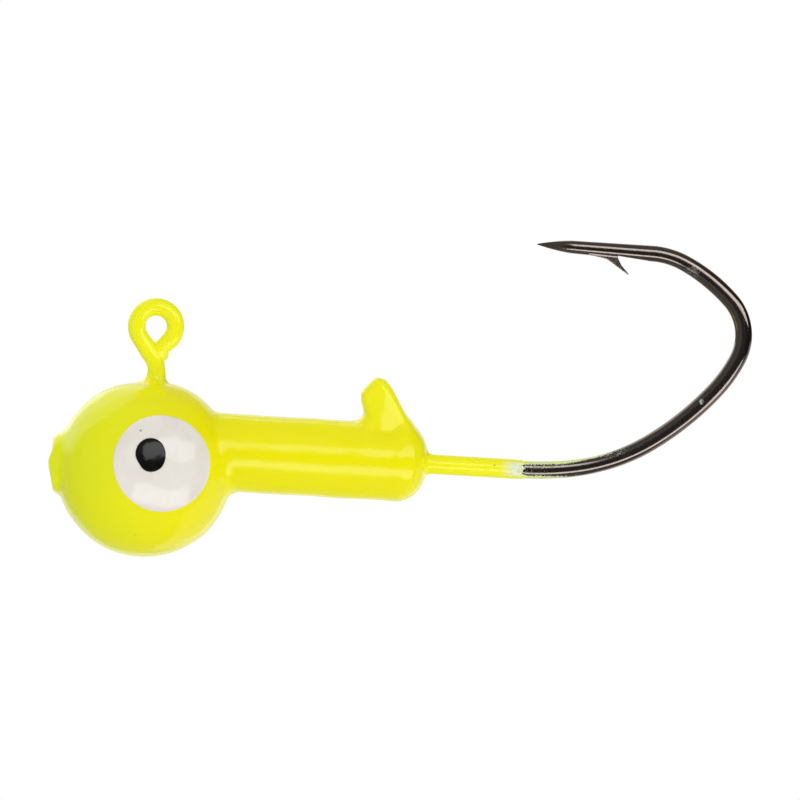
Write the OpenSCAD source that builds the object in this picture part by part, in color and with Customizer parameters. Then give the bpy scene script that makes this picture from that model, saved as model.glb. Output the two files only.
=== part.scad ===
// Jig head for lure fishing: a lead ball cast round a bent hook, then painted.
// All sizes are in millimetres.
// +X runs along the shank from the nose to the bend. +Z points up, to the side
// of the line eye and of the hook's point. XZ is the mirror plane, and the
// origin is the centre of the line eye's hole.
// Head sizes are over the paint, so each layer below it is drawn thinner.

/* [Head] */
// Radius of the ball
ball_r = 4.92; // [4.7:0.02:5.1]
// How far the ball's centre sits ahead of the line eye
ball_ahead = 0.21; // [0:0.01:0.5]
// Drop from the line eye to the ball's centre
ball_drop = 8.13; // [8:0.01:8.3]
// Radius of the swelling on the ball's upper back
shoulder_r = 4; // [3.8:0.05:4.05]
// Shift of that swelling from the ball's centre
shoulder_shift = 1.12; // [1:0.02:1.2]
// Direction of that shift above the shank
shoulder_angle = 53; // [45:1:60]

/* [Casting stub] */
// Diameter of the stub left by the pouring gate on the nose
stub_d = 3.3; // [2.6:0.1:3.6]
// How far the stub stands out of the ball
stub_out = 0.53; // [0.3:0.01:0.7]
// Radius of the stub's domed end
stub_dome_r = 6; // [5:0.5:9]

/* [Collar and keeper] */
// Diameter of the collar that holds the bait's mouth
collar_d = 4.33; // [4:0.01:4.6]
// Where the collar ends
collar_end = 15.68; // [15:0.01:16.2]
// Radius of the collar's rounded rear edge
collar_round = 1.35; // [1:0.05:1.5]
// Radius of the keeper barb's round tip
keeper_tip_r = 0.87; // [0.7:0.01:1]
// Place of the keeper's tip centre along the shank
keeper_x = 12.75; // [12:0.05:13.2]
// Height of the keeper's tip centre above the shank
keeper_rise = 3.8; // [3.4:0.05:4.2]
// Thickness of the keeper from side to side
keeper_w = 2.3; // [1.6:0.05:2.8]
// Slope of the keeper's rear edge
keeper_rear_angle = 59.6; // [55:0.1:65]
// Run of the keeper's front edge down to the shank's line
keeper_front_run = 0.65; // [0.3:0.05:1]

/* [Hook wire] */
// Diameter of the hook's wire
wire_d = 0.9; // [0.8:0.02:1]
// Diameter of the drawn-down wire in the line eye and the neck
eye_wire_d = 0.75; // [0.65:0.01:0.8]
// Radius of the line eye's loop at the wire's centre
eye_loop_r = 1.1; // [1.05:0.01:1.2]
// Drop from the line eye to the shank
shank_drop = 6.87; // [6.8:0.01:6.95]
// Radius of the right-angle bend inside the ball
inner_bend_r = 2.2; // [1.8:0.1:2.6]
// Where the shank's straight stretch ends
shank_end = 21.24; // [20:0.01:23]

/* [Point] */
// Length of the straight from the bend to the tip
point_len = 6.67; // [6.4:0.01:7]
// Length of the ground needle point
needle_len = 2; // [1.6:0.1:2.4]
// Diameter of the wire where the needle point starts
needle_d = 0.7; // [0.6:0.02:0.8]
// Distance of the barb's root from the tip
barb_root = 3.2; // [3:0.05:3.4]
// Distance of the barb's free end from the tip
barb_back = 5.25; // [5:0.05:5.5]
// How far the barb's free end stands off the wire's centre line
barb_out = 1.22; // [1:0.01:1.4]
// Thickness of the barb from side to side
barb_w = 0.5; // [0.4:0.02:0.6]

/* [Paint] */
// Thickness of the white base coat
base_film = 0.05; // [0.04:0.005:0.06]
// Thickness of the colour coat
colour_film = 0.05; // [0.04:0.005:0.06]
// Where the base coat stops on the shank
base_stop = 21.2; // [20.6:0.1:21.6]
// Where the colour coat stops on the shank
colour_stop = 20.4; // [19:0.1:20.5]

/* [Eyes] */
// Thickness of each printed layer of an eye
eye_film = 0.05; // [0.04:0.005:0.06]
// Diameter of an eye's white
white_d = 5.42; // [5:0.02:5.6]
// Place of the white's centre along the shank
white_x = 0.88; // [0.6:0.01:1.1]
// Drop of the white's centre below the line eye
white_drop = 7.70; // [7.6:0.01:8]
// Diameter of the pupil
pupil_d = 1.78; // [1.4:0.02:2]
// Place of the pupil's centre along the shank
pupil_x = 0.24; // [-0.1:0.01:0.4]
// Drop of the pupil's centre below the line eye
pupil_drop = 7.26; // [7.1:0.01:7.4]

/* [Hidden] */
$fn = 64;
// A bead this much larger than the wire joins each run of it to the next
bead = 0.02;
// Rows of facets round a quarter turn of an outline's arc
arc_steps = 8;
// Cone between the collar and the shank: its length, and how far it stands off
// the shank at its foot and at its lip
cone_len = 0.4;
cone_foot = 0.25;
cone_lip = 0.06;
paint = base_film + colour_film;
ball_at = [-ball_ahead, 0, -ball_drop];
shoulder_at = ball_at + shoulder_shift * [cos(shoulder_angle), 0, sin(shoulder_angle)];
left = -1;
right = 1;

// A pose on the wire is [x, z, heading]. A run of wire is [length, 0] for a
// straight, or [radius, turn] for a bend, where a left turn is positive.

// Downward slope of the loop's end that runs into the neck
eye_lean = 51;
// How far the loop turns from its cut end to that slope
eye_turn = 262;
// Straight end of the loop, which butts against the neck
tail_len = 0.85;
// Straight from the loop to the neck
slope_len = 1.25;
// Bend from that straight down into the neck
neck_bend_r = 1.2;
// Heights at which the neck starts and stops thickening, inside the ball
taper_top = -3.5;
taper_foot = inner_bend_r - shank_drop;
eye_runs = [[tail_len, 0], [eye_loop_r, eye_turn], [slope_len, 0], [neck_bend_r, eye_lean - 90]];

// Diameter of the needle's very tip
tip_d = 0.05;
// The barb starts and ends this far off the wire's centre line, buried in it
barb_sunk = 0.3;
// Where the barb's upper edge leaves the wire: behind its root, and off the centre line
barb_knee = [0.7, 0.47];
// The notch under the barb ends this far ahead of its free end
barb_notch = 0.65;
// Height above the shank's centre line at which the keeper's outline starts
keeper_foot = 1.2;

// The sickle bend, from the end of the straight shank round to the point
sickle_runs = [[16.5, 10.5], [10.8, 24], [17, 16], [8, 15], [2.95, 69], [9.8, 19.5], [4.5, 24.7]];

function heading(angle) = [cos(angle), sin(angle)];
function side(angle, turn) = sign(turn) * [-sin(angle), cos(angle)];

// The pose at the end of a run that starts at a given pose
function after(pose, run) =
    let (here = [pose[0], pose[1]], angle = pose[2], turn = run[1], size = run[0])
    let (there = turn == 0
        ? here + size * heading(angle)
        : here + size * (side(angle, turn) - side(angle + turn, turn)))
    [there[0], there[1], angle + turn];

// The pose after the first few runs of a list
function along(pose, runs, count) =
    count == 0 ? pose : after(along(pose, runs, count - 1), runs[count - 1]);

// Where the wire starts, with the cut end moved back by a film's thickness
function eye_start(film) =
    let (back = tail_len + film, lean = 360 - eye_lean - eye_turn)
    [eye_loop_r * sin(lean) - back * cos(lean),
     -eye_loop_r * cos(lean) - back * sin(lean), lean];

neck_pose = along(eye_start(0), eye_runs, len(eye_runs));
neck_x = neck_pose[0];
inner_pose = [neck_x, taper_foot, -90];
shank_pose = after(inner_pose, [inner_bend_r, 90]);
bend_pose = [shank_end, shank_pose[1], 0];
point_pose = along(bend_pose, sickle_runs, len(sickle_runs));

// Moves its children from the X axis to a pose on the wire
module at(pose) {
    translate([pose[0], 0, pose[1]]) rotate([0, -pose[2], 0]) children();
}

// A round bar or cone along +X
module bar(length, d, d_end) {
    rotate([0, 90, 0]) cylinder(h = length, d1 = d, d2 = d_end);
}

// A bend of round wire that starts along +X and turns in the XZ plane
module bend(radius, turn, d) {
    up = sign(turn);
    translate([0, 0, up * radius]) rotate([90, 0, 0]) rotate([0, 0, -90 * up])
        rotate_extrude(angle = turn) translate([radius, 0]) circle(d = d);
}

// The wire along a list of runs, with a bead at the end of each
module wire(pose, runs, d) {
    for (i = [0 : len(runs) - 1]) {
        at(along(pose, runs, i)) {
            if (runs[i][1] == 0) bar(runs[i][0], d, d);
            else bend(runs[i][0], runs[i][1], d);
        }
        at(along(pose, runs, i + 1)) sphere(d = d + bead);
    }
}

// Line eye and neck, down to where the wire thickens, with a film round them
module eye_and_neck(film) {
    d = eye_wire_d + 2 * film;
    wire(eye_start(film), concat([[tail_len + film, 0]],
        [for (i = [1 : len(eye_runs) - 1]) eye_runs[i]]), d);
    at(neck_pose) bar(neck_pose[1] - taper_top, d, d);
}

// Straight shank from inside the ball to a given place, with a film round it
module shank(stop, film) {
    d = wire_d + 2 * film;
    at(shank_pose) bar(stop - shank_pose[0], d, d);
}

// The barb is cut up from the wire on the side of the gap
module barb() {
    notch = barb_back - barb_notch;
    rotate([90, 0, 0]) translate([0, 0, -barb_w / 2]) linear_extrude(barb_w)
        polygon([[-barb_root, 0], [-barb_root, barb_sunk],
                 [-barb_root - barb_knee[0], barb_knee[1]],
                 [-barb_back, barb_out], [-notch, barb_sunk], [-notch, 0]]);
}

// Wire from the last bend to the tip: a slow taper, then the needle point
module point() {
    grip = point_len - needle_len;
    at(point_pose) {
        bar(grip, wire_d, needle_d);
        translate([grip, 0, 0]) bar(needle_len, needle_d, tip_d);
        translate([point_len, 0, 0]) barb();
    }
}

module jig_hook() {
    color("#3e3a36") {
        eye_and_neck(0);
        at([neck_x, taper_top, -90]) bar(taper_top - taper_foot, eye_wire_d, wire_d);
        wire(inner_pose, [[inner_bend_r, 90], [shank_end - shank_pose[0], 0]], wire_d);
        wire(bend_pose, sickle_runs, wire_d);
        point();
    }
}

// Points of an arc, from one angle to another
function arc(centre, r, from, to) =
    [for (i = [0 : arc_steps]) centre + r * heading(from + (to - from) * i / arc_steps)];

// Keeper barb: a fin that leans towards the head, with a round tip
module keeper(film) {
    inset = paint - film;
    r = keeper_tip_r - inset;
    w = keeper_w - 2 * inset;
    rear_angle = 90 - keeper_rear_angle;
    rear = [0, keeper_rise] + r * heading(rear_angle);
    rear_foot = rear[0] + (rear[1] - keeper_foot) / tan(keeper_rear_angle);
    translate([keeper_x, w / 2, -shank_drop]) rotate([90, 0, 0]) linear_extrude(w)
        polygon(concat(arc([0, keeper_rise], r, 180, rear_angle),
                       [[rear_foot, keeper_foot], [keeper_front_run - r, keeper_foot]]));
}

// Collar with a rounded rear edge, and the small cone where the shank leaves it
module collar(film) {
    inset = paint - film;
    r = collar_d / 2 - inset;
    length = collar_end - inset;
    edge = collar_round - inset;
    shank_r = wire_d / 2 + film;
    translate([0, 0, -shank_drop]) rotate([0, 90, 0]) rotate_extrude()
        polygon(concat([[0, 0], [r, 0]], arc([r - edge, length - edge], edge, 0, 90),
                       [[shank_r + cone_foot, length], [shank_r + cone_lip, length + cone_len],
                        [0, length + cone_len]]));
}

// Stub of the pouring gate on the nose
module stub(film) {
    inset = paint - film;
    nose = -ball_ahead - ball_r - stub_out;
    intersection() {
        translate([nose, 0, -ball_drop]) bar(ball_r, stub_d - 2 * inset, stub_d - 2 * inset);
        translate([nose + stub_dome_r, 0, -ball_drop]) sphere(r = stub_dome_r - inset);
    }
}

// Outside of the head with a film of paint on the bare lead: 0 is the lead itself
module head_form(film) {
    inset = paint - film;
    translate(ball_at) sphere(r = ball_r - inset);
    translate(shoulder_at) sphere(r = shoulder_r - inset);
    stub(film);
    collar(film);
    keeper(film);
}

// Outside of a coat over the head, the line eye, the neck and the painted shank
module coated_form(film, stop) {
    head_form(film);
    eye_and_neck(film);
    shank(stop, film);
}

module lead_casting() {
    color("#6f7276") difference() {
        head_form(0);
        jig_hook();
    }
}

module base_coat() {
    color("#eeeeea") difference() {
        coated_form(base_film, base_stop);
        head_form(0);
        jig_hook();
    }
}

module colour_coat() {
    color("#e6e42c") difference() {
        coated_form(paint, colour_stop);
        coated_form(base_film, base_stop);
    }
}

// A round patch printed on one side of the ball, above any layers already there
module patch(face, x, drop, d, layers_below) {
    bottom = ball_r + layers_below * eye_film;
    intersection() {
        translate(ball_at) difference() {
            sphere(r = bottom + eye_film);
            sphere(r = bottom);
        }
        translate([x, 0, -drop]) rotate([-90 * face, 0, 0]) cylinder(h = 2 * ball_r, d = d);
    }
}

module eye_white(face) {
    color("#ece6dc") patch(face, white_x, white_drop, white_d, 0);
}

module pupil(face) {
    color("#2f2f2a") patch(face, pupil_x, pupil_drop, pupil_d, 1);
}

jig_hook();
lead_casting();
base_coat();
colour_coat();
eye_white(left);  // eye_white_left
eye_white(right);  // eye_white_right
pupil(left);  // pupil_left
pupil(right);  // pupil_right
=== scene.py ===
import math

import bpy
import numpy as np
from mathutils import Matrix, Vector


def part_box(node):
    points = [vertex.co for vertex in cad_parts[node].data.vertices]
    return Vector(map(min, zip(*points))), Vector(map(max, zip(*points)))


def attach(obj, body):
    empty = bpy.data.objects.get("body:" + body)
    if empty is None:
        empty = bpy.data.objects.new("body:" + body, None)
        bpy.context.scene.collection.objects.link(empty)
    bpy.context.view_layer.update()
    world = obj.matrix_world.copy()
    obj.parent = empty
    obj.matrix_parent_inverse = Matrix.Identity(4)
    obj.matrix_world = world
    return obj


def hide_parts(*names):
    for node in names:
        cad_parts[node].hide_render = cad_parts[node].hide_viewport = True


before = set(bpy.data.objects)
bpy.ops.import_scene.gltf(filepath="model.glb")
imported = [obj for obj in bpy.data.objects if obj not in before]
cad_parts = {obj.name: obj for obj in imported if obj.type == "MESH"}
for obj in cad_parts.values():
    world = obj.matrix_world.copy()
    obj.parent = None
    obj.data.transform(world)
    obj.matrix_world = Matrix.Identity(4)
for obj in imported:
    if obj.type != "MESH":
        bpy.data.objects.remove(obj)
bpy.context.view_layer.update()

# Looks for the jig head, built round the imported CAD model. Lengths are in millimetres in the
# fields below and become metres when a mesh is made. +X runs from the nose to the hook's bend,
# +Z points up to the line eye and the hook's point, and Y crosses the mirror plane.

MM = 0.001


def corners(node):
    """Lowest and highest corner of a CAD node, in millimetres."""
    low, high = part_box(node)
    return np.array(low) / MM, np.array(high) / MM


# ---------------------------------------------------------------- sizes, as in the CAD model

coat_low, coat_high = corners("colour_coat")
base_low, base_high = corners("base_coat")
lead_low, lead_high = corners("lead_casting")
white_low, white_high = corners("eye_white_left")
pupil_low, pupil_high = corners("pupil_left")

# Film thicknesses, from the steps between the coats' boxes
COLOUR_FILM = base_low[2] - coat_low[2]
PAINT = 2 * COLOUR_FILM

BALL_R = (coat_high[1] - coat_low[1]) / 2
STUB_OUT = 0.53
BALL = np.array([coat_low[0] + STUB_OUT + BALL_R, 0, coat_low[2] + BALL_R])


def from_ball(shift, degrees):
    """A point in the mirror plane, at a distance and an angle from the ball's centre."""
    angle = math.radians(degrees)
    return BALL + shift * np.array([math.cos(angle), 0, math.sin(angle)])


# Slight swellings of the cast ball, as (centre, radius, fillet)
SWELLS = [(from_ball(0.9, 129), 4.08, 0.1),
          (from_ball(1.12, 53), 4.0, 0.3),
          (from_ball(0.70, -32), 4.2, 0.3)]

# The stub of the pouring gate. Its snapped face leans back above and below a ridge, and is stepped
# back near its top.
STUB_R = 1.58
STUB_DROP = 0.01
STUB_EDGE = 0.2
RIDGE_DROP = 0.03
RIDGE_BACK = 0.04
LEAN_ABOVE = 0.34
LEAN_BELOW = 0.23
STEP_BACK = 0.27
STEP_LEAN = 0.02

SHANK_Z = -6.87
COLLAR_Z = -6.89
COLLAR_R = 2.17
COLLAR_END = 15.68
COLLAR_EDGE = 1.6
END_LEAN = 0.04

WIRE_R = 0.45
EYE_WIRE_R = 0.375
COLOUR_STOP = coat_high[0]
BASE_STOP = base_high[0]

# The coats' tube round the shank starts inside the head. Past its stop a coat thins out over the
# run-out, and its mesh ends inside the steel.
TUBE_START = 3.0
COAT_RUN_OUT = 1.2
COAT_SINK = 0.03

EYE_FILM = 0.05
WHITE_AT = ((white_low[0] + white_high[0]) / 2, (white_low[2] + white_high[2]) / 2)
WHITE_R = (white_high[0] - white_low[0]) / 2
PUPIL_AT = ((pupil_low[0] + pupil_high[0]) / 2, (pupil_low[2] + pupil_high[2]) / 2)
PUPIL_R = (pupil_high[0] - pupil_low[0]) / 2

# Size of the cells that the surfaces are meshed with
BODY_CELL = 0.07
LEAD_CELL = 0.25
HOOK_CELL = 0.04


# ---------------------------------------------------------------- the wire's path

# A run of wire is (length, 0) for a straight or (radius, turn) for a bend, left turns positive.
LOOP_R = 1.1
EYE_LEAN = 51
EYE_TURN = 262
TAIL = 0.85
TAIL_HEADING = 360 - EYE_LEAN - EYE_TURN
EYE_RUNS = [(TAIL, 0), (LOOP_R, EYE_TURN), (1.25, 0), (1.2, EYE_LEAN - 90)]
INNER_BEND_R = 2.2
SHANK_END = 21.24
SICKLE_RUNS = [(16.5, 10.5), (10.8, 24), (17, 16), (8, 15), (2.95, 69), (9.8, 19.5), (4.5, 24.7)]
POINT_LEN = 6.67


def unit(angle):
    """Unit vector in the XZ plane at an angle in degrees from +X."""
    return np.array([math.cos(math.radians(angle)), math.sin(math.radians(angle))])


def lay_out(start, angle, runs):
    """The runs of a wire as a list of (start, heading, size, turn, distance along, length)."""
    here, along, parts = np.array(start, float), 0.0, []
    for size, turn in runs:
        length = size * math.radians(abs(turn)) if turn else size
        parts.append((here, angle, size, turn, along, length))
        if turn:
            sign = math.copysign(1, turn)
            here = here + sign * size * (unit(angle + 90) - unit(angle + turn + 90))
            angle += turn
        else:
            here = here + size * unit(angle)
        along += length
    return parts, here, angle, along


def nearest(parts, x, z):
    """Distance to a wire's centre line in its plane, distance along it, and side (left positive)."""
    best = along = side = None
    for start, angle, size, turn, so_far, length in parts:
        if turn:
            sign = math.copysign(1, turn)
            centre = start + sign * size * unit(angle + 90)
            vx, vz = x - centre[0], z - centre[1]
            first = math.radians(angle - 90 * sign)
            half = math.radians(abs(turn)) / 2
            swept = (np.arctan2(vz, vx) - first) * sign - half
            swept = (swept + math.pi) % (2 * math.pi) - math.pi
            swept = np.clip(swept, -half, half) + half
            at = first + sign * swept
            px, pz = centre[0] + size * np.cos(at), centre[1] + size * np.sin(at)
            hx, hz = -sign * np.sin(at), sign * np.cos(at)
            s = so_far + size * swept
        else:
            hx, hz = unit(angle)
            t = np.clip((x - start[0]) * hx + (z - start[1]) * hz, 0, length)
            px, pz = start[0] + t * hx, start[1] + t * hz
            s = so_far + t
        dx, dz = x - px, z - pz
        d = np.hypot(dx, dz)
        which = hx * dz - hz * dx
        if best is None:
            best, along, side = d, s, which
        else:
            closer = d < best
            best = np.where(closer, d, best)
            along = np.where(closer, s, along)
            side = np.where(closer, which, side)
    return best, along, side


loop_start = LOOP_R * unit(TAIL_HEADING - 90)
tail_start = loop_start - TAIL * unit(TAIL_HEADING)
_, neck_at, _, _ = lay_out(tail_start, TAIL_HEADING, EYE_RUNS)
neck_len = neck_at[1] - (SHANK_Z + INNER_BEND_R)
shank_start = neck_at[0] + INNER_BEND_R
HOOK_RUNS = EYE_RUNS + [(neck_len, 0), (INNER_BEND_R, 90), (SHANK_END - shank_start, 0)]
HOOK_RUNS += SICKLE_RUNS + [(POINT_LEN, 0)]
hook_parts, TIP, POINT_HEADING, HOOK_LEN = lay_out(tail_start, TAIL_HEADING, HOOK_RUNS)
S_NECK = hook_parts[len(EYE_RUNS)][4]
S_INNER = hook_parts[len(EYE_RUNS) + 1][4]
S_SICKLE = hook_parts[len(EYE_RUNS) + 3][4]
S_POINT = hook_parts[-1][4]

# The painted wire: the loop with the slope and the neck, and the tail that lies against them
eye_and_neck, _, _, _ = lay_out(loop_start, TAIL_HEADING, EYE_RUNS[1:] + [(neck_len, 0)])
tail_part, _, _, _ = lay_out(tail_start, TAIL_HEADING, [(TAIL, 0), (LOOP_R, 20)])
S_SLOPE = eye_and_neck[1][4]
NECK_X = neck_at[0]


# ---------------------------------------------------------------- fields: negative inside, in mm

def ramp(value, low, high):
    """0 at one value and 1 at another, straight between them and level past them."""
    return np.clip((value - low) / (high - low), 0, 1)


def ease(share):
    """A share from 0 to 1 with soft ends."""
    return share * share * (3 - 2 * share)


def hump(value, middle, width):
    """A smooth bump of height 1."""
    return np.exp(-((value - middle) / width) ** 2)


def join(a, b, reach):
    """Union of two fields with a fillet where they meet."""
    h = np.maximum(reach - np.abs(a - b), 0) / reach
    return np.minimum(a, b) - h * h * reach / 4


def cut(a, b, reach):
    """Field a with field b taken away, and a small round along the edge."""
    return -join(-a, b, reach)


def slab(a, b, edge):
    """What two fields have in common, with a rounded edge."""
    ax, bx = a + edge, b + edge
    outside = np.hypot(np.maximum(ax, 0), np.maximum(bx, 0))
    return outside + np.minimum(np.maximum(ax, bx), 0) - edge


def polygon_field(px, pz, points):
    """Signed distance to a polygon in the plane."""
    best, inside = None, None
    for i, b in enumerate(points):
        a = points[i - 1]
        ex, ez = b[0] - a[0], b[1] - a[1]
        wx, wz = px - a[0], pz - a[1]
        t = np.clip((wx * ex + wz * ez) / (ex * ex + ez * ez), 0, 1)
        d = np.hypot(wx - t * ex, wz - t * ez)
        best = d if best is None else np.minimum(best, d)
        crosses = (a[1] > pz) != (b[1] > pz)
        left_of = px < a[0] + (pz - a[1]) * ex / (ez if abs(ez) > 1e-9 else 1e-9)
        hit = crosses & left_of
        inside = hit if inside is None else inside ^ hit
    return np.where(inside, -best, best)


class Ripple:
    """A smooth uneven field made of a few plane waves with seeded directions."""

    def __init__(self, seed, shortest, longest, waves=14):
        rng = np.random.default_rng(seed)
        d = rng.normal(size=(waves, 3))
        d /= np.linalg.norm(d, axis=1)[:, None]
        self.k = d * (2 * math.pi / rng.uniform(shortest, longest, waves))[:, None]
        self.phase = rng.uniform(0, 2 * math.pi, waves)
        self.scale = 1 / math.sqrt(waves)

    def __call__(self, x, y, z):
        total = 0
        for (kx, ky, kz), phase in zip(self.k, self.phase):
            total = total + np.sin(kx * x + ky * y + kz * z + phase)
        return total * self.scale


paint_ripple = Ripple(3, 1.6, 5.0)
paint_runs = Ripple(8, 0.7, 1.5)


# The keeper's outline, drawn smaller by the radius that then rounds it
KEEPER_ROUND = 0.3
KEEPER = [(12.42, -6.0), (12.40, -4.1), (12.17, -3.5), (12.15, -3.15), (12.45, -2.75),
          (12.72, -2.48), (12.97, -2.54), (13.2, -2.78), (13.4, -3.05), (14.15, -4.3),
          (14.26, -4.6), (14.3, -5.2), (13.9, -6.0)]

# Its half thickness in the middle, with a taper upwards and a bow to both ends
KEEPER_HALF = 1.42
KEEPER_MIDDLE = (13.35, -5.3)
KEEPER_TAPER = 0.2
KEEPER_BOW = 0.12
KEEPER_EDGE = 0.4

# The seam left by the two halves of the mould
PARTING_WIDTH = 0.12
PARTING_HEIGHT = 0.03


def head_field(x, y, z, film):
    """Outside of the cast head under a thickness of paint."""
    inset = PAINT - film
    y2 = y * y
    body = np.sqrt((x - BALL[0]) ** 2 + y2 + (z - BALL[2]) ** 2) - (BALL_R - inset)
    for centre, radius, fillet in SWELLS:
        swell = np.sqrt((x - centre[0]) ** 2 + y2 + (z - centre[2]) ** 2) - (radius - inset)
        body = join(body, swell, fillet)

    across = np.sqrt(y2 + (z - BALL[2] + STUB_DROP) ** 2) - (STUB_R - inset)
    face = BALL[0] - BALL_R - STUB_OUT + RIDGE_BACK + inset
    rise = z - BALL[2] + RIDGE_DROP
    upper = join(face + LEAN_ABOVE * rise + 0.05 * y, face + STEP_BACK - STEP_LEAN * rise, 0.05)
    lower = face - LEAN_BELOW * rise - 0.04 * y
    front = -join(-upper, -lower, 0.1)
    stub = slab(across, np.maximum(front - x, x - BALL[0]), STUB_EDGE)
    body = join(body, stub, 0.55 + 0.35 * np.clip(rise / 1.3, -0.5, 1))

    reach = np.sqrt(y2 + (z - COLLAR_Z) ** 2)
    end = x - (COLLAR_END - inset) - END_LEAN * (z - COLLAR_Z)
    collar = slab(reach - (COLLAR_R - inset), end, COLLAR_EDGE - inset)
    collar = np.maximum(collar, BALL[0] - x)
    body = join(body, collar, 0.5 - 0.25 * np.clip((z - COLLAR_Z) / 1.5, -1, 1))

    outline = polygon_field(x, z, KEEPER) - (KEEPER_ROUND - inset)
    half = KEEPER_HALF - KEEPER_TAPER * (z - KEEPER_MIDDLE[1]) - KEEPER_BOW * (x - KEEPER_MIDDLE[0]) ** 2
    keeper = slab(outline, (np.abs(y) - half + inset) * 0.97, KEEPER_EDGE)
    body = join(body, keeper, 0.12 + 0.7 * ramp(x, 12.7, 12.1) + 0.9 * ramp(x, 13.7, 14.7))
    return body - PARTING_HEIGHT * hump(y, 0, PARTING_WIDTH)


# The drop of paint at the end of the line eye's tail
DROP_AT = (0.44, -1.59)
DROP_R = 0.25


def eye_wire_field(x, y, z, film):
    """Outside of the paint on the line eye and the neck, with sags and a drop at the wire's end."""
    n, s, side = nearest(eye_and_neck, x, z)
    sag = 0.02 + 0.05 * hump(z, -3.2, 0.5)
    sag = sag + 0.09 * hump(s, S_SLOPE + 1.2, 0.9) * np.clip(0.4 - side / 0.8, 0, 1)
    sag = sag - 0.06 * hump(z, -2.15, 0.4) * ramp(x, NECK_X, NECK_X + 0.3)
    strand = np.sqrt(n * n + y * y) - (EYE_WIRE_R + film + sag)
    n, _, _ = nearest(tail_part, x, z)
    tail = np.sqrt(n * n + y * y) - (EYE_WIRE_R + film)
    drop = np.sqrt((x - DROP_AT[0]) ** 2 + y * y + (z - DROP_AT[1]) ** 2) - (DROP_R + film)
    return join(join(strand, tail, 0.08), drop, 0.1)


def shank_coat_field(x, y, z, film, stop):
    """Outside of the paint on the shank. It reaches further along the top and bottom than the sides do."""
    reach = np.sqrt(y * y + (z - SHANK_Z) ** 2)
    angle = np.arctan2(z - SHANK_Z, y)
    edge = stop + 0.05 * np.sin(3 * angle + 1.1) + 0.03 * np.sin(7 * angle)
    lift = ease(ramp(np.abs(z - SHANK_Z) / np.maximum(reach, 0.1), 0.45, 0.8))
    edge = edge + (0.85 + 0.7 * lift if film == PAINT else 0.25 + 0.2 * lift)
    fade = np.clip((edge - x) / (0.5 + 0.6 * lift), 0, 1)
    thickness = film * ease(fade) - COAT_SINK * (1 - fade)
    shank = reach - (WIRE_R + thickness)
    return np.maximum(shank, np.maximum(x - (stop + COAT_RUN_OUT), TUBE_START - x))


# The unevenness of the sprayed paint: heights of its broad waves and of its small runs
WAVE_HEIGHT = 0.012
RUN_HEIGHT = 0.004


def coat_field(x, y, z, film, stop):
    """Outside of a coat of paint over the head, the line eye, the neck and the start of the shank."""
    head = head_field(x, y, z, film)
    lee = ramp(x, NECK_X + 0.2, NECK_X - 0.3)
    body = join(head, eye_wire_field(x, y, z, film), 0.3 + 0.4 * lee)
    body = join(body, shank_coat_field(x, y, z, film, stop), 0.45)
    waves = WAVE_HEIGHT * paint_ripple(x, y, z) + RUN_HEIGHT * paint_runs(x, y, z)
    return body + waves * ramp(x, 16.2, 15.6) * ramp(z, -2.6, -3.2)


# The ground needle at the hook's point
NEEDLE_LEN = 2.2
NEEDLE_R = 0.365
TIP_R = 0.012


def point_radius(left):
    """The wire's half width at a distance back from the tip: a ground needle, then a slow taper."""
    needle = NEEDLE_R * (1 - np.clip(1 - left / NEEDLE_LEN, 0, 1) ** 1.6)
    return np.maximum(needle + (WIRE_R - NEEDLE_R) * ramp(left, NEEDLE_LEN, POINT_LEN), TIP_R)


# The barb and the notch under it, as (distance back from the tip, distance off the centre line)
BARB = [(2.8, 0.1), (3.1, 0.36), (3.87, 0.48), (4.15, 0.55), (4.72, 0.91), (5.375, 1.315),
        (5.415, 1.275), (4.95, 0.8), (4.72, 0.42), (4.66, 0.28), (4.55, 0.1)]
NOTCH = [(4.68, 0.29), (5.04, 1.3), (6.6, 1.0), (6.4, 0.44)]

# The barb's half thickness at the wire, and how much thinner it is a millimetre further out
BARB_HALF = 0.26
BARB_TAPER = 0.16


# The wire's sides are forged flat from just past the paint to the point, except round the tight bend
FLAT_START = 0.02
FLAT_DEPTH = 0.062

# How much deeper than wide the wire is: along the forged bend, and where overspray lies on the steel
FORGED_DEEPER = 0.07
SPRAY_DEEPER = 0.09


def hook_field(x, y, z):
    """The hook: drawn wire, forged flat on its sides, with a needle point and a cut barb."""
    n, s, _ = nearest(hook_parts, x, z)
    r = EYE_WIRE_R + (WIRE_R - EYE_WIRE_R) * ramp(s, S_NECK, S_INNER)
    r = np.minimum(r, point_radius(HOOK_LEN - s))
    past = s - S_SICKLE
    deep = FORGED_DEEPER * ramp(past, 2, 7) * ramp(s, S_POINT - 1, S_POINT - 4)
    deep = np.maximum(deep, SPRAY_DEEPER * ramp(past, -1.5, -0.5) * ramp(past, 6, 1))
    wire = np.sqrt((n / (1 + deep)) ** 2 + y * y) - r
    forged = ramp(past, FLAT_START, FLAT_START + 0.1) - ramp(past, 11, 13.5) + ramp(past, 18.5, 20.5)
    flat = np.abs(y) - r * (1.02 - forged * FLAT_DEPTH)
    wire = slab(wire, flat, 0.05 * np.minimum(1, r / 0.2))

    ahead = unit(POINT_HEADING)
    back = (TIP[0] - x) * ahead[0] + (TIP[1] - z) * ahead[1]
    below = (TIP[0] - x) * ahead[1] - (TIP[1] - z) * ahead[0]
    blade = polygon_field(back, below, BARB)
    half = BARB_HALF - BARB_TAPER * np.clip(below - 0.35, 0, 1)
    barb = slab(blade, np.abs(y) - half, 0.02)
    wire = cut(wire, polygon_field(back, below, NOTCH), 0.05)
    return join(wire, barb, 0.06)


# ---------------------------------------------------------------- meshes

def link(name, mesh):
    piece = bpy.data.objects.new(name, mesh)
    bpy.context.scene.collection.objects.link(piece)
    return piece


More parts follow.
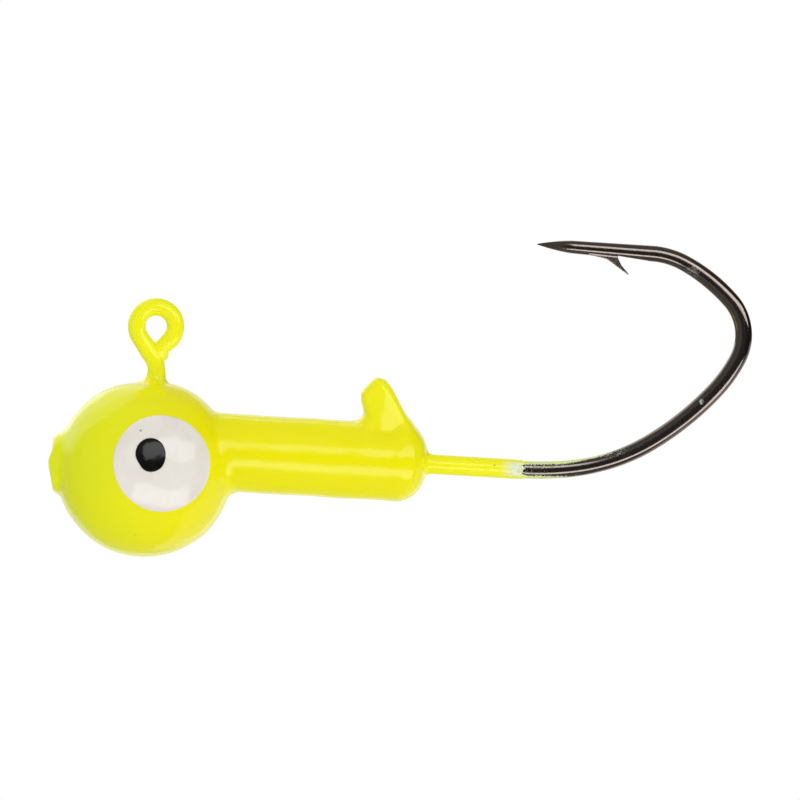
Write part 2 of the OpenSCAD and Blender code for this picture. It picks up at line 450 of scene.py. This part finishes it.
def mesh_piece(name, points, faces, normals=None):
    """A smooth mesh piece from points in millimetres."""
    mesh = bpy.data.meshes.new(name)
    mesh.from_pydata((points * MM).tolist(), [], faces.tolist() if hasattr(faces, "tolist") else faces)
    mesh.update()
    mesh.polygons.foreach_set("use_smooth", np.ones(len(mesh.polygons), bool))
    if normals is not None:
        mesh.normals_split_custom_set_from_vertices(normals.tolist())
    mesh.update()
    return link(name, mesh)


def slope(field, p, step):
    """Gradient of a field at a list of points."""
    out = np.empty_like(p)
    for axis in range(3):
        d = np.zeros(3)
        d[axis] = step
        a, b = p + d, p - d
        out[:, axis] = (field(a[:, 0], a[:, 1], a[:, 2]) - field(b[:, 0], b[:, 1], b[:, 2])) / (2 * step)
    return out


def grid_values(field, low, count, cell):
    """A field on a grid, worked out in full only in the blocks that can hold its zero surface."""
    block, batch = 8, 400
    blocks = -(-count // block)
    spots = np.stack(np.meshgrid(*(np.arange(n) for n in blocks), indexing="ij"), -1).reshape(-1, 3)
    middles = low + cell * (spots * block + (block - 1) / 2)
    coarse = field(middles[:, 0], middles[:, 1], middles[:, 2])
    values = coarse.astype(np.float32).reshape(blocks)
    for axis in range(3):
        values = values.repeat(block, axis)
    inner = np.stack(np.meshgrid(*[np.arange(block)] * 3, indexing="ij"), -1).reshape(-1, 3)
    close = spots[np.abs(coarse) < 1.4 * cell * block]
    for i in range(0, len(close), batch):
        at = (close[i:i + batch, None, :] * block + inner[None]).reshape(-1, 3)
        p = low + cell * at
        values[at[:, 0], at[:, 1], at[:, 2]] = field(p[:, 0], p[:, 1], p[:, 2])
    return values[:count[0], :count[1], :count[2]]


def skin(field, low, high, cell):
    """Points, quads and normals of a field's zero surface: surface nets, with the points pulled onto it."""
    low, high = np.asarray(low, float), np.asarray(high, float)
    count = np.ceil((high - low) / cell).astype(int) + 1
    values = grid_values(field, low, count, cell)
    inside = values < 0
    corner = [(i, j, k) for i in (0, 1) for j in (0, 1) for k in (0, 1)]
    total = np.zeros(count - 1, np.int8)
    for i, j, k in corner:
        total += inside[i:count[0] - 1 + i, j:count[1] - 1 + j, k:count[2] - 1 + k]
    mixed = (total > 0) & (total < 8)
    number = np.full(mixed.shape, -1, np.int32)
    cells = np.argwhere(mixed)
    number[mixed] = np.arange(len(cells))
    place, hits = np.zeros((len(cells), 3)), np.zeros(len(cells))
    for axis in range(3):
        for c in corner:
            if c[axis]:
                continue
            a = cells + np.array(c)
            b = a.copy()
            b[:, axis] += 1
            va = values[a[:, 0], a[:, 1], a[:, 2]].astype(float)
            vb = values[b[:, 0], b[:, 1], b[:, 2]].astype(float)
            crossed = (va < 0) != (vb < 0)
            t = va[crossed] / (va[crossed] - vb[crossed])
            spot = a[crossed].astype(float)
            spot[:, axis] += t
            place[crossed] += spot
            hits[crossed] += 1
    points = low + cell * place / hits[:, None]
    quads = []
    for axis in range(3):
        b_axis, c_axis = (axis + 1) % 3, (axis + 2) % 3
        ahead = [slice(None)] * 3
        behind = [slice(None)] * 3
        ahead[axis], behind[axis] = slice(1, None), slice(None, -1)
        for first, second, flip in ((behind, ahead, False), (ahead, behind, True)):
            edge = inside[tuple(first)] & ~inside[tuple(second)]
            at = np.argwhere(edge)
            keep = (at[:, b_axis] > 0) & (at[:, c_axis] > 0)
            keep &= (at[:, b_axis] < count[b_axis] - 1) & (at[:, c_axis] < count[c_axis] - 1)
            at = at[keep]
            eb, ec = np.zeros(3, int), np.zeros(3, int)
            eb[b_axis], ec[c_axis] = 1, 1
            ring = [at - eb - ec, at - ec, at, at - eb]
            quad = np.stack([number[r[:, 0], r[:, 1], r[:, 2]] for r in ring], axis=1)
            quads.append(quad[:, ::-1] if flip else quad)
    for _ in range(4):
        g = slope(field, points, cell * 0.05)
        f = field(points[:, 0], points[:, 1], points[:, 2])
        move = (f / np.maximum((g * g).sum(1), 0.2))[:, None] * g
        points = points - np.clip(move, -cell * 0.5, cell * 0.5)
    normals = slope(field, points, cell * 0.05)
    normals /= np.maximum(np.linalg.norm(normals, axis=1), 1e-9)[:, None]
    return points, np.concatenate(quads), normals


def coat_piece(name, film, stop, cell):
    """A coat's outer skin, from the nose to where the coat has run out along the shank."""
    margin = 4 * cell
    low = coat_low - margin
    high = np.array([stop + COAT_RUN_OUT, coat_high[1], coat_high[2]]) + margin

    def field(x, y, z):
        return coat_field(x, y, z, film, stop)

    return mesh_piece(name, *skin(field, low, high, cell))


def film_piece(name, at, outline, thickness, face, below, rings=26, spokes=128, dome=0.0):
    """A printed film that follows the painted ball on both its sides, with a rounded rim."""
    angles = np.linspace(0, 2 * math.pi, spokes, endpoint=False)
    rim_shares = [0.955, 0.975, 0.99, 0.997, 1.0, 1.0]
    rim_heights = [0.97, 0.88, 0.7, 0.45, 0.15, -0.5]
    behind = np.linspace(0.9, 0.1, 9)
    shares = np.concatenate([np.linspace(0.04, 0.93, rings), rim_shares, behind])
    heights = np.concatenate([np.ones(rings), rim_heights, np.full(len(behind), -0.5)]) * thickness
    heights = heights + np.where(heights > 0, dome * (1 - shares ** 2), 0)
    radius = outline(angles)
    x = at[0] + np.outer(shares, radius * np.cos(angles))
    z = at[1] + np.outer(shares, radius * np.sin(angles))
    x = np.concatenate([[at[0]], x.ravel(), [at[0]]])
    z = np.concatenate([[at[1]], z.ravel(), [at[1]]])
    h = np.concatenate([[thickness + dome], np.repeat(heights, spokes), [-0.5 * thickness]]) + below
    y = face * np.sqrt(np.maximum(BALL_R ** 2 - (x - BALL[0]) ** 2 - (z - BALL[2]) ** 2, 0.01))
    for _ in range(5):
        gap = coat_field(x, y, z, PAINT, COLOUR_STOP) - h
        out = coat_field(x, y + 0.01, z, PAINT, COLOUR_STOP)
        steep = (out - coat_field(x, y - 0.01, z, PAINT, COLOUR_STOP)) / 0.02
        y = y - gap / np.where(np.abs(steep) < 0.2, 0.2 * face, steep)
    points = np.stack([x, y, z], axis=1)
    rows = len(shares)
    last = 1 + rows * spokes
    faces = []
    for j in range(spokes):
        faces.append([0, 1 + j, 1 + (j + 1) % spokes])
        for i in range(rows - 1):
            a, b = 1 + i * spokes + j, 1 + i * spokes + (j + 1) % spokes
            faces.append([a, a + spokes, b + spokes, b])
        faces.append([last, last - spokes + (j + 1) % spokes, last - spokes + j])
    if face > 0:
        faces = [f[::-1] for f in faces]
    return mesh_piece(name, points, faces)


# ---------------------------------------------------------------- materials

class Paint:
    """A node material on one Principled shader, with helpers that add nodes in millimetre space."""

    def __init__(self, name, **sockets):
        self.material = bpy.data.materials.new(name)
        self.material.use_nodes = True
        self.nodes = self.material.node_tree.nodes
        self.links = self.material.node_tree.links
        self.shader = self.nodes["Principled BSDF"]
        for socket, value in sockets.items():
            self.shader.inputs[socket.replace("_", " ")].default_value = value
        coordinate = self.nodes.new("ShaderNodeTexCoord")
        scale = self.nodes.new("ShaderNodeMapping")
        scale.inputs["Scale"].default_value = (1 / MM, 1 / MM, 1 / MM)
        self.links.new(coordinate.outputs["Object"], scale.inputs["Vector"])
        self.place = scale.outputs["Vector"]

    def noise(self, scale, detail=3.0, rough=0.5):
        node = self.nodes.new("ShaderNodeTexNoise")
        node.inputs["Scale"].default_value = scale
        node.inputs["Detail"].default_value = detail
        node.inputs["Roughness"].default_value = rough
        self.links.new(self.place, node.inputs["Vector"])
        return node.outputs["Fac"]

    def math(self, what, a, b=0.0, clamp=False):
        node = self.nodes.new("ShaderNodeMath")
        node.operation = what
        node.use_clamp = clamp
        for socket, value in zip(node.inputs, (a, b)):
            if isinstance(value, (int, float)):
                socket.default_value = value
            else:
                self.links.new(value, socket)
        return node.outputs[0]

    def span(self, value, low, high, to_low=0.0, to_high=1.0):
        node = self.nodes.new("ShaderNodeMapRange")
        node.interpolation_type = "SMOOTHSTEP"
        node.inputs["From Min"].default_value = low
        node.inputs["From Max"].default_value = high
        node.inputs["To Min"].default_value = to_low
        node.inputs["To Max"].default_value = to_high
        self.links.new(value, node.inputs["Value"])
        return node.outputs["Result"]

    def mix(self, share, a, b):
        node = self.nodes.new("ShaderNodeMix")
        node.data_type = "RGBA"
        for name, value in (("Factor", share), ("A", a), ("B", b)):
            socket = [s for s in node.inputs if s.name == name and s.enabled][0]
            if isinstance(value, tuple):
                socket.default_value = (*value, 1)
            elif isinstance(value, float):
                socket.default_value = value
            else:
                self.links.new(value, socket)
        return [s for s in node.outputs if s.enabled][0]

    def axis(self, which):
        node = self.nodes.new("ShaderNodeSeparateXYZ")
        self.links.new(self.place, node.inputs[0])
        return node.outputs[which]

    def near(self, spot, radius):
        """1 at a spot given in millimetres, falling to 0 at a radius."""
        node = self.nodes.new("ShaderNodeVectorMath")
        node.operation = "DISTANCE"
        self.links.new(self.place, node.inputs[0])
        node.inputs[1].default_value = spot
        return self.span(node.outputs["Value"], radius * 0.5, radius, 1.0, 0.0)

    def bump(self, height, distance):
        node = self.nodes.new("ShaderNodeBump")
        node.inputs["Strength"].default_value = 1.0
        node.inputs["Distance"].default_value = distance * MM
        self.links.new(height, node.inputs["Height"])
        self.links.new(node.outputs["Normal"], self.shader.inputs["Normal"])

    def set(self, socket, value):
        self.links.new(value, self.shader.inputs[socket])


# Small marks on the pieces' left side, in millimetres
GREEN_SPECK = (0.80, -0.05, -3.08)
SHANK_SPECK = (19.6, -0.53, -6.72)
ORANGE_TINT = (10.55, -0.68, -4.83)
EYE_DUST = (-0.39, -4.4, -5.96)
CHIP = (31.08, -0.4, -2.44)
FAINT_SCUFF = (30.2, -0.4, 4.9)


def yellow_paint():
    """Chartreuse paint. Painted shading makes it greener to the left, a painted pale rim light makes it
    paler over the top and bottom, and it is worn at its end.
    """
    m = Paint("yellow_paint", IOR=1.5, Specular_IOR_Level=0.42)
    # Painted shading: greener and a little darker to the left and warmer to the right, where the light
    # falls more strongly
    painted_light_rightward = m.span(m.math("ADD", m.axis(0), m.math("MULTIPLY", m.noise(0.16, 2.0), 6.0)), -2.5, 5.8)
    colour = m.mix(painted_light_rightward, (0.755, 0.825, 0.012), (0.875, 0.815, 0.003))
    off = m.math("ABSOLUTE", m.axis(1))
    # Painted highlight: a paler yellow near the mirror plane, a painted pale rim along the outline and over
    # the thin wire
    colour = m.mix(m.span(off, 0.2, 1.8, 0.6, 0.0), colour, (0.94, 0.95, 0.02))
    grain = m.span(m.noise(9.0, 4.0), 0.45, 0.75, 0.0, 0.06)
    colour = m.mix(grain, colour, (0.82, 0.80, 0.03))
    worn = m.math("MULTIPLY", m.span(m.axis(0), 19.8, 20.9), m.span(off, 0.33, 0.44))
    colour = m.mix(m.span(m.axis(0), 20.3, 21.8), colour, (0.68, 0.82, 0.16))
    colour = m.mix(worn, colour, (0.75, 0.82, 0.58))
    dust = m.span(m.noise(2.6, 1.0), 0.80, 0.82, 0.0, 0.5)
    colour = m.mix(dust, colour, (0.45, 0.42, 0.03))
    colour = m.mix(m.near(GREEN_SPECK, 0.16), colour, (0.05, 0.14, 0.03))
    colour = m.mix(m.near(SHANK_SPECK, 0.07), colour, (0.32, 0.36, 0.04))
    tint = m.math("MULTIPLY", m.near(ORANGE_TINT, 0.2), 0.5)
    colour = m.mix(tint, colour, (0.90, 0.45, 0.05))
    m.set("Base Color", colour)
    m.set("Roughness", m.span(m.noise(0.8, 3.0), 0.3, 0.7, 0.13, 0.19))
    height = m.math("ADD", m.noise(1.4, 2.0), m.math("MULTIPLY", m.noise(9.0, 1.0), 0.03))
    m.bump(height, 0.02)
    return m.material


def white_base():
    m = Paint("white_base", IOR=1.5)
    cloud = m.span(m.noise(3.0), 0.3, 0.7)
    m.set("Base Color", m.mix(cloud, (0.71, 0.77, 0.50), (0.65, 0.72, 0.44)))
    m.set("Roughness", m.span(m.noise(6.0), 0.3, 0.7, 0.4, 0.6))
    m.bump(m.noise(8.0, 3.0), 0.01)
    return m.material


def eye_white():
    m = Paint("eye_white", IOR=1.5)
    colour = m.mix(m.span(m.noise(0.7, 4.0), 0.3, 0.7), (0.78, 0.735, 0.668), (0.83, 0.79, 0.73))
    scuff = m.span(m.noise(5.0, 5.0, 0.7), 0.62, 0.75, 0.0, 0.35)
    colour = m.mix(scuff, colour, (0.62, 0.58, 0.55))
    colour = m.mix(m.near(EYE_DUST, 0.13), colour, (0.25, 0.20, 0.14))
    m.set("Base Color", colour)
    m.set("Roughness", m.span(m.noise(2.0, 3.0), 0.3, 0.7, 0.05, 0.10))
    m.bump(m.noise(1.6, 3.0), 0.025)
    return m.material


def pupil_black():
    m = Paint("pupil_black", IOR=1.5, Specular_IOR_Level=0.4)
    uneven = m.span(m.noise(2.5, 3.0), 0.3, 0.7)
    m.set("Base Color", m.mix(uneven, (0.003, 0.004, 0.003), (0.007, 0.007, 0.005)))
    m.set("Roughness", m.span(m.noise(3.0), 0.3, 0.7, 0.09, 0.13))
    m.bump(m.noise(4.0, 3.0), 0.01)
    return m.material


def hook_steel():
    """Black nickel wire, with a speckled overspray of paint just past the coats."""
    m = Paint("hook_steel")
    streak = m.span(m.noise(5.0, 4.0, 0.6), 0.3, 0.7)
    steel = m.mix(streak, (0.252, 0.209, 0.183), (0.30, 0.251, 0.222))
    x = m.axis(0)
    off = m.math("ABSOLUTE", m.axis(1))

    # Overspray: it lies on the top and bottom of the wire and thins out with distance from the coats
    middle = m.math("MULTIPLY", m.span(x, 21.2, 27.0), 1.1)
    above = m.span(m.math("SUBTRACT", m.axis(2), middle), -6.95, -6.75)
    reach = m.math("ADD", m.math("MULTIPLY", above, 2.4), 22.9)
    gone = m.span(m.math("SUBTRACT", x, reach), -1.4, 2.2)
    edgeward = m.span(off, 0.39, 0.43, 1.0, 0.0)
    inward = m.span(off, 0.24, 0.39, 0.0, 0.4)
    level = m.math("ADD", m.math("ADD", m.math("MULTIPLY", gone, 0.5), 0.17), inward)
    cover = m.math("GREATER_THAN", m.noise(11.0, 3.0, 0.7), level)
    lower_run = m.span(m.axis(2), -4.0, -3.9, 1.0, 0.0)
    spray = m.math("MULTIPLY", m.math("MULTIPLY", cover, edgeward), lower_run)
    greyed = m.math("MAXIMUM", gone, m.span(off, 0.31, 0.39))
    hue = m.mix(greyed, (0.68, 0.80, 0.20), (0.42, 0.48, 0.42))
    hue = m.mix(m.span(m.noise(8.0, 2.0), 0.5, 0.6), hue, (0.62, 0.68, 0.60))

    # Scuffs, and white specks past the overspray
    cloudy = m.span(m.noise(6.0, 3.0, 0.7), 0.45, 0.6, 0.0, 0.3)
    faint = m.math("MULTIPLY", m.near(FAINT_SCUFF, 0.5), cloudy)
    broken = m.span(m.noise(5.0, 2.0), 0.35, 0.6, 0.2, 1.0)
    scuff = m.math("MAXIMUM", m.math("MULTIPLY", m.near(CHIP, 0.19), broken), faint)
    reached = m.math("MULTIPLY", m.span(x, 22.6, 23.8), m.span(x, 26.0, 27.4, 1.0, 0.0))
    specks = m.math("GREATER_THAN", m.noise(9.0, 2.0, 0.6), 0.575)
    specks = m.math("MULTIPLY", specks, m.math("MULTIPLY", reached, above))
    scuff = m.math("MAXIMUM", scuff, m.math("MULTIPLY", specks, m.span(m.axis(2), -3.5, -3.4, 1.0, 0.0)))
    cover = m.math("MAXIMUM", spray, m.math("MULTIPLY", scuff, 0.8))
    m.set("Base Color", m.mix(spray, m.mix(scuff, steel, (0.52, 0.58, 0.56)), hue))
    m.set("Metallic", m.math("SUBTRACT", 1.0, cover))
    polish = m.span(m.noise(7.0, 4.0), 0.3, 0.75, 0.11, 0.16)
    m.set("Roughness", m.math("ADD", polish, m.math("MULTIPLY", cover, 0.35)))
    height = m.math("ADD", m.math("MULTIPLY", m.noise(12.0, 2.0), 0.02), spray)
    m.bump(height, 0.025)
    return m.material


def cast_lead():
    m = Paint("cast_lead", Metallic=1.0)
    mottle = m.span(m.noise(0.9, 4.0), 0.3, 0.7)
    m.set("Base Color", m.mix(mottle, (0.30, 0.31, 0.33), (0.42, 0.43, 0.45)))
    m.set("Roughness", m.span(m.noise(3.0, 4.0), 0.3, 0.7, 0.45, 0.65))
    m.bump(m.noise(5.0, 4.0), 0.02)
    return m.material


def floor_pale():
    m = Paint("floor_pale", Roughness=0.9)
    cloud = m.span(m.noise(0.02, 2.0), 0.3, 0.7)
    m.set("Base Color", m.mix(cloud, (0.90, 0.90, 0.90), (0.93, 0.93, 0.93)))
    return m.material


# ---------------------------------------------------------------- camera, lights and floor

# The camera's aim, the width of what it sees and its roll
AIM = (14.04, 0, -3.348)
VIEW_WIDTH = 45.32
ROLL = 3.4

# Metres: the lights' distance, the spot that they face and the floor's height
LIGHT_DISTANCE = 0.6
LIT_SPOT = (0.014, 0, -0.004)
FLOOR_LEVEL = -0.75


def make_camera():
    """At the photograph's angle: level, square to the mirror plane, rolled so the shank slopes down."""
    roll = math.radians(ROLL)
    data = bpy.data.cameras.new("camera")
    data.sensor_width = 36
    data.lens = 400
    camera = bpy.data.objects.new("camera", data)
    bpy.context.scene.collection.objects.link(camera)
    right = Vector((math.cos(roll), 0, math.sin(roll)))
    up = Vector((-math.sin(roll), 0, math.cos(roll)))
    back = right.cross(up)
    turn = Matrix((right, up, back)).transposed()
    distance = VIEW_WIDTH * MM * data.lens / data.sensor_width
    camera.matrix_world = Matrix.Translation(Vector(AIM) * MM + back * distance) @ turn.to_4x4()
    data.clip_start = 0.01
    bpy.context.scene.camera = camera


def soft_light(name, azimuth, elevation, wide, tall, radiance, mirrored=True):
    """A soft rectangular light that faces the object. Azimuth 0 is the camera's side and 90 is +X."""
    a, e = math.radians(azimuth), math.radians(elevation)
    away = Vector((math.sin(a) * math.cos(e), -math.cos(a) * math.cos(e), math.sin(e)))
    data = bpy.data.lights.new(name, "AREA")
    data.shape = "RECTANGLE"
    data.size, data.size_y = wide, tall
    data.energy = radiance * math.pi * wide * tall
    lamp = bpy.data.objects.new(name, data)
    bpy.context.scene.collection.objects.link(lamp)
    lamp.location = Vector(LIT_SPOT) + away * LIGHT_DISTANCE
    lamp.rotation_euler = away.to_track_quat("Z", "Y").to_euler()
    lamp.visible_camera = False
    lamp.visible_glossy = mirrored


def make_lights():
    """Two long soft boxes that show as streaks, pale panels behind for the rims, and fills."""
    soft_light("strip_above", 36, 28, 0.90, 0.28, 2.15)
    soft_light("strip_below", 32, -35, 0.90, 0.27, 2.25)
    soft_light("rim_upper_left", -138, 35, 0.65, 0.65, 0.65)
    soft_light("rim_lower_right", 128, -31, 0.75, 0.65, 0.5)
    soft_light("backdrop", 180, 0, 0.7, 0.7, 0.34)
    soft_light("fill_top", 0, 84, 1.0, 1.0, 0.82, mirrored=False)
    soft_light("fill_bottom", 0, -84, 1.0, 1.0, 0.33, mirrored=False)
    soft_light("fill_left", -66, 0, 0.9, 0.9, 0.97, mirrored=False)
    soft_light("fill_right", 85, 0, 0.9, 0.9, 0.35, mirrored=False)
    soft_light("fill_front", -10, 0, 0.9, 0.9, 0.1, mirrored=False)


def make_world():
    """White to the camera. Else a dim fill, brighter behind and darker at the camera and the right."""
    world = bpy.data.worlds.new("world")
    bpy.context.scene.world = world
    world.use_nodes = True
    nodes, links = world.node_tree.nodes, world.node_tree.links

    def darker(direction, low, high, least, most=1.0):
        dot, fade = nodes.new("ShaderNodeVectorMath"), nodes.new("ShaderNodeMapRange")
        dot.operation = "DOT_PRODUCT"
        dot.inputs[1].default_value = direction
        fade.interpolation_type = "SMOOTHSTEP"
        for name, value in (("From Min", low), ("From Max", high), ("To Min", most), ("To Max", least)):
            fade.inputs[name].default_value = value
        links.new(around.outputs["Generated"], dot.inputs[0])
        links.new(dot.outputs["Value"], fade.inputs["Value"])
        return fade.outputs["Result"]

    around = nodes.new("ShaderNodeTexCoord")
    dim, level = nodes.new("ShaderNodeMath"), nodes.new("ShaderNodeMath")
    dim.operation = level.operation = "MULTIPLY"
    links.new(darker((0.26, -0.966, 0), 0.84, 0.93, 0.3), dim.inputs[0])
    links.new(darker((1, 0, 0), 0.2, 0.8, 0.15), dim.inputs[1])
    links.new(dim.outputs[0], level.inputs[0])
    links.new(darker((0, -1, 0), -0.95, -0.3, 0.17, most=0.5), level.inputs[1])
    seen, fill = nodes["Background"], nodes.new("ShaderNodeBackground")
    seen.inputs["Color"].default_value = (1, 1, 1, 1)
    seen.inputs["Strength"].default_value = 1.0
    fill.inputs["Color"].default_value = (1, 0.98, 0.95, 1)
    links.new(level.outputs[0], fill.inputs["Strength"])
    path, mix = nodes.new("ShaderNodeLightPath"), nodes.new("ShaderNodeMixShader")
    links.new(path.outputs["Is Camera Ray"], mix.inputs["Fac"])
    links.new(fill.outputs[0], mix.inputs[1])
    links.new(seen.outputs[0], mix.inputs[2])
    links.new(mix.outputs[0], nodes["World Output"].inputs["Surface"])


def make_floor():
    bpy.ops.mesh.primitive_plane_add(size=1)
    floor = bpy.context.object
    floor.name = "floor"
    floor.scale = (4, 4, 1)
    floor.location = (LIT_SPOT[0], 0, FLOOR_LEVEL)
    floor.data.materials.append(floor_pale())
    floor.visible_glossy = False


# ---------------------------------------------------------------- the pieces

def finish_piece(piece, node, material):
    """Gives a piece its material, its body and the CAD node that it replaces."""
    piece.data.materials.clear()
    piece.data.materials.append(material)
    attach(piece, "root")
    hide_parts(node)


def white_outline(angles):
    slant = 0.009 * np.cos(2 * angles - 1.5 * math.pi)
    return WHITE_R * (1 + slant + 0.004 * np.sin(3 * angles + 1) + 0.002 * np.sin(7 * angles))


def pupil_outline(angles):
    """An uneven dot, flatter on its lower left side and fuller on its lower right."""
    flat = 0.12 * np.exp(-((angles - math.radians(220)) / 0.55) ** 2)
    full = 0.03 * np.exp(-((angles - math.radians(315)) / 0.5) ** 2)
    return PUPIL_R * (1.02 - 0.055 * np.cos(2 * angles) - flat + full)


bpy.context.scene.view_settings.view_transform = "Standard"
make_camera()
make_world()
make_lights()
make_floor()

yellow, base_white = yellow_paint(), white_base()
print_white, print_black, steel = eye_white(), pupil_black(), hook_steel()

coat = coat_piece("colour_coat_film", PAINT, COLOUR_STOP, BODY_CELL)
finish_piece(coat, "colour_coat", yellow)
base = coat_piece("base_coat_film", PAINT - COLOUR_FILM, BASE_STOP, BODY_CELL * 1.3)
finish_piece(base, "base_coat", base_white)

hook_low, hook_high = corners("jig_hook")
margin = 3 * HOOK_CELL
hook = mesh_piece("hook_wire", *skin(hook_field, hook_low - margin, hook_high + margin, HOOK_CELL))
finish_piece(hook, "jig_hook", steel)

for face, hand in ((-1, "left"), (1, "right")):
    white = film_piece("eye_print_" + hand, WHITE_AT, white_outline, EYE_FILM, face, 0.0)
    finish_piece(white, "eye_white_" + hand, print_white)
    dot = film_piece("pupil_print_" + hand, PUPIL_AT, pupil_outline, EYE_FILM, face, EYE_FILM,
                     rings=14, spokes=96, dome=0.035)
    finish_piece(dot, "pupil_" + hand, print_black)


def lead_field(x, y, z):
    return head_field(x, y, z, 0)


margin = 3 * LEAD_CELL
lead = mesh_piece("lead_body", *skin(lead_field, lead_low - margin, lead_high + margin, LEAD_CELL))
finish_piece(lead, "lead_casting", cast_lead())
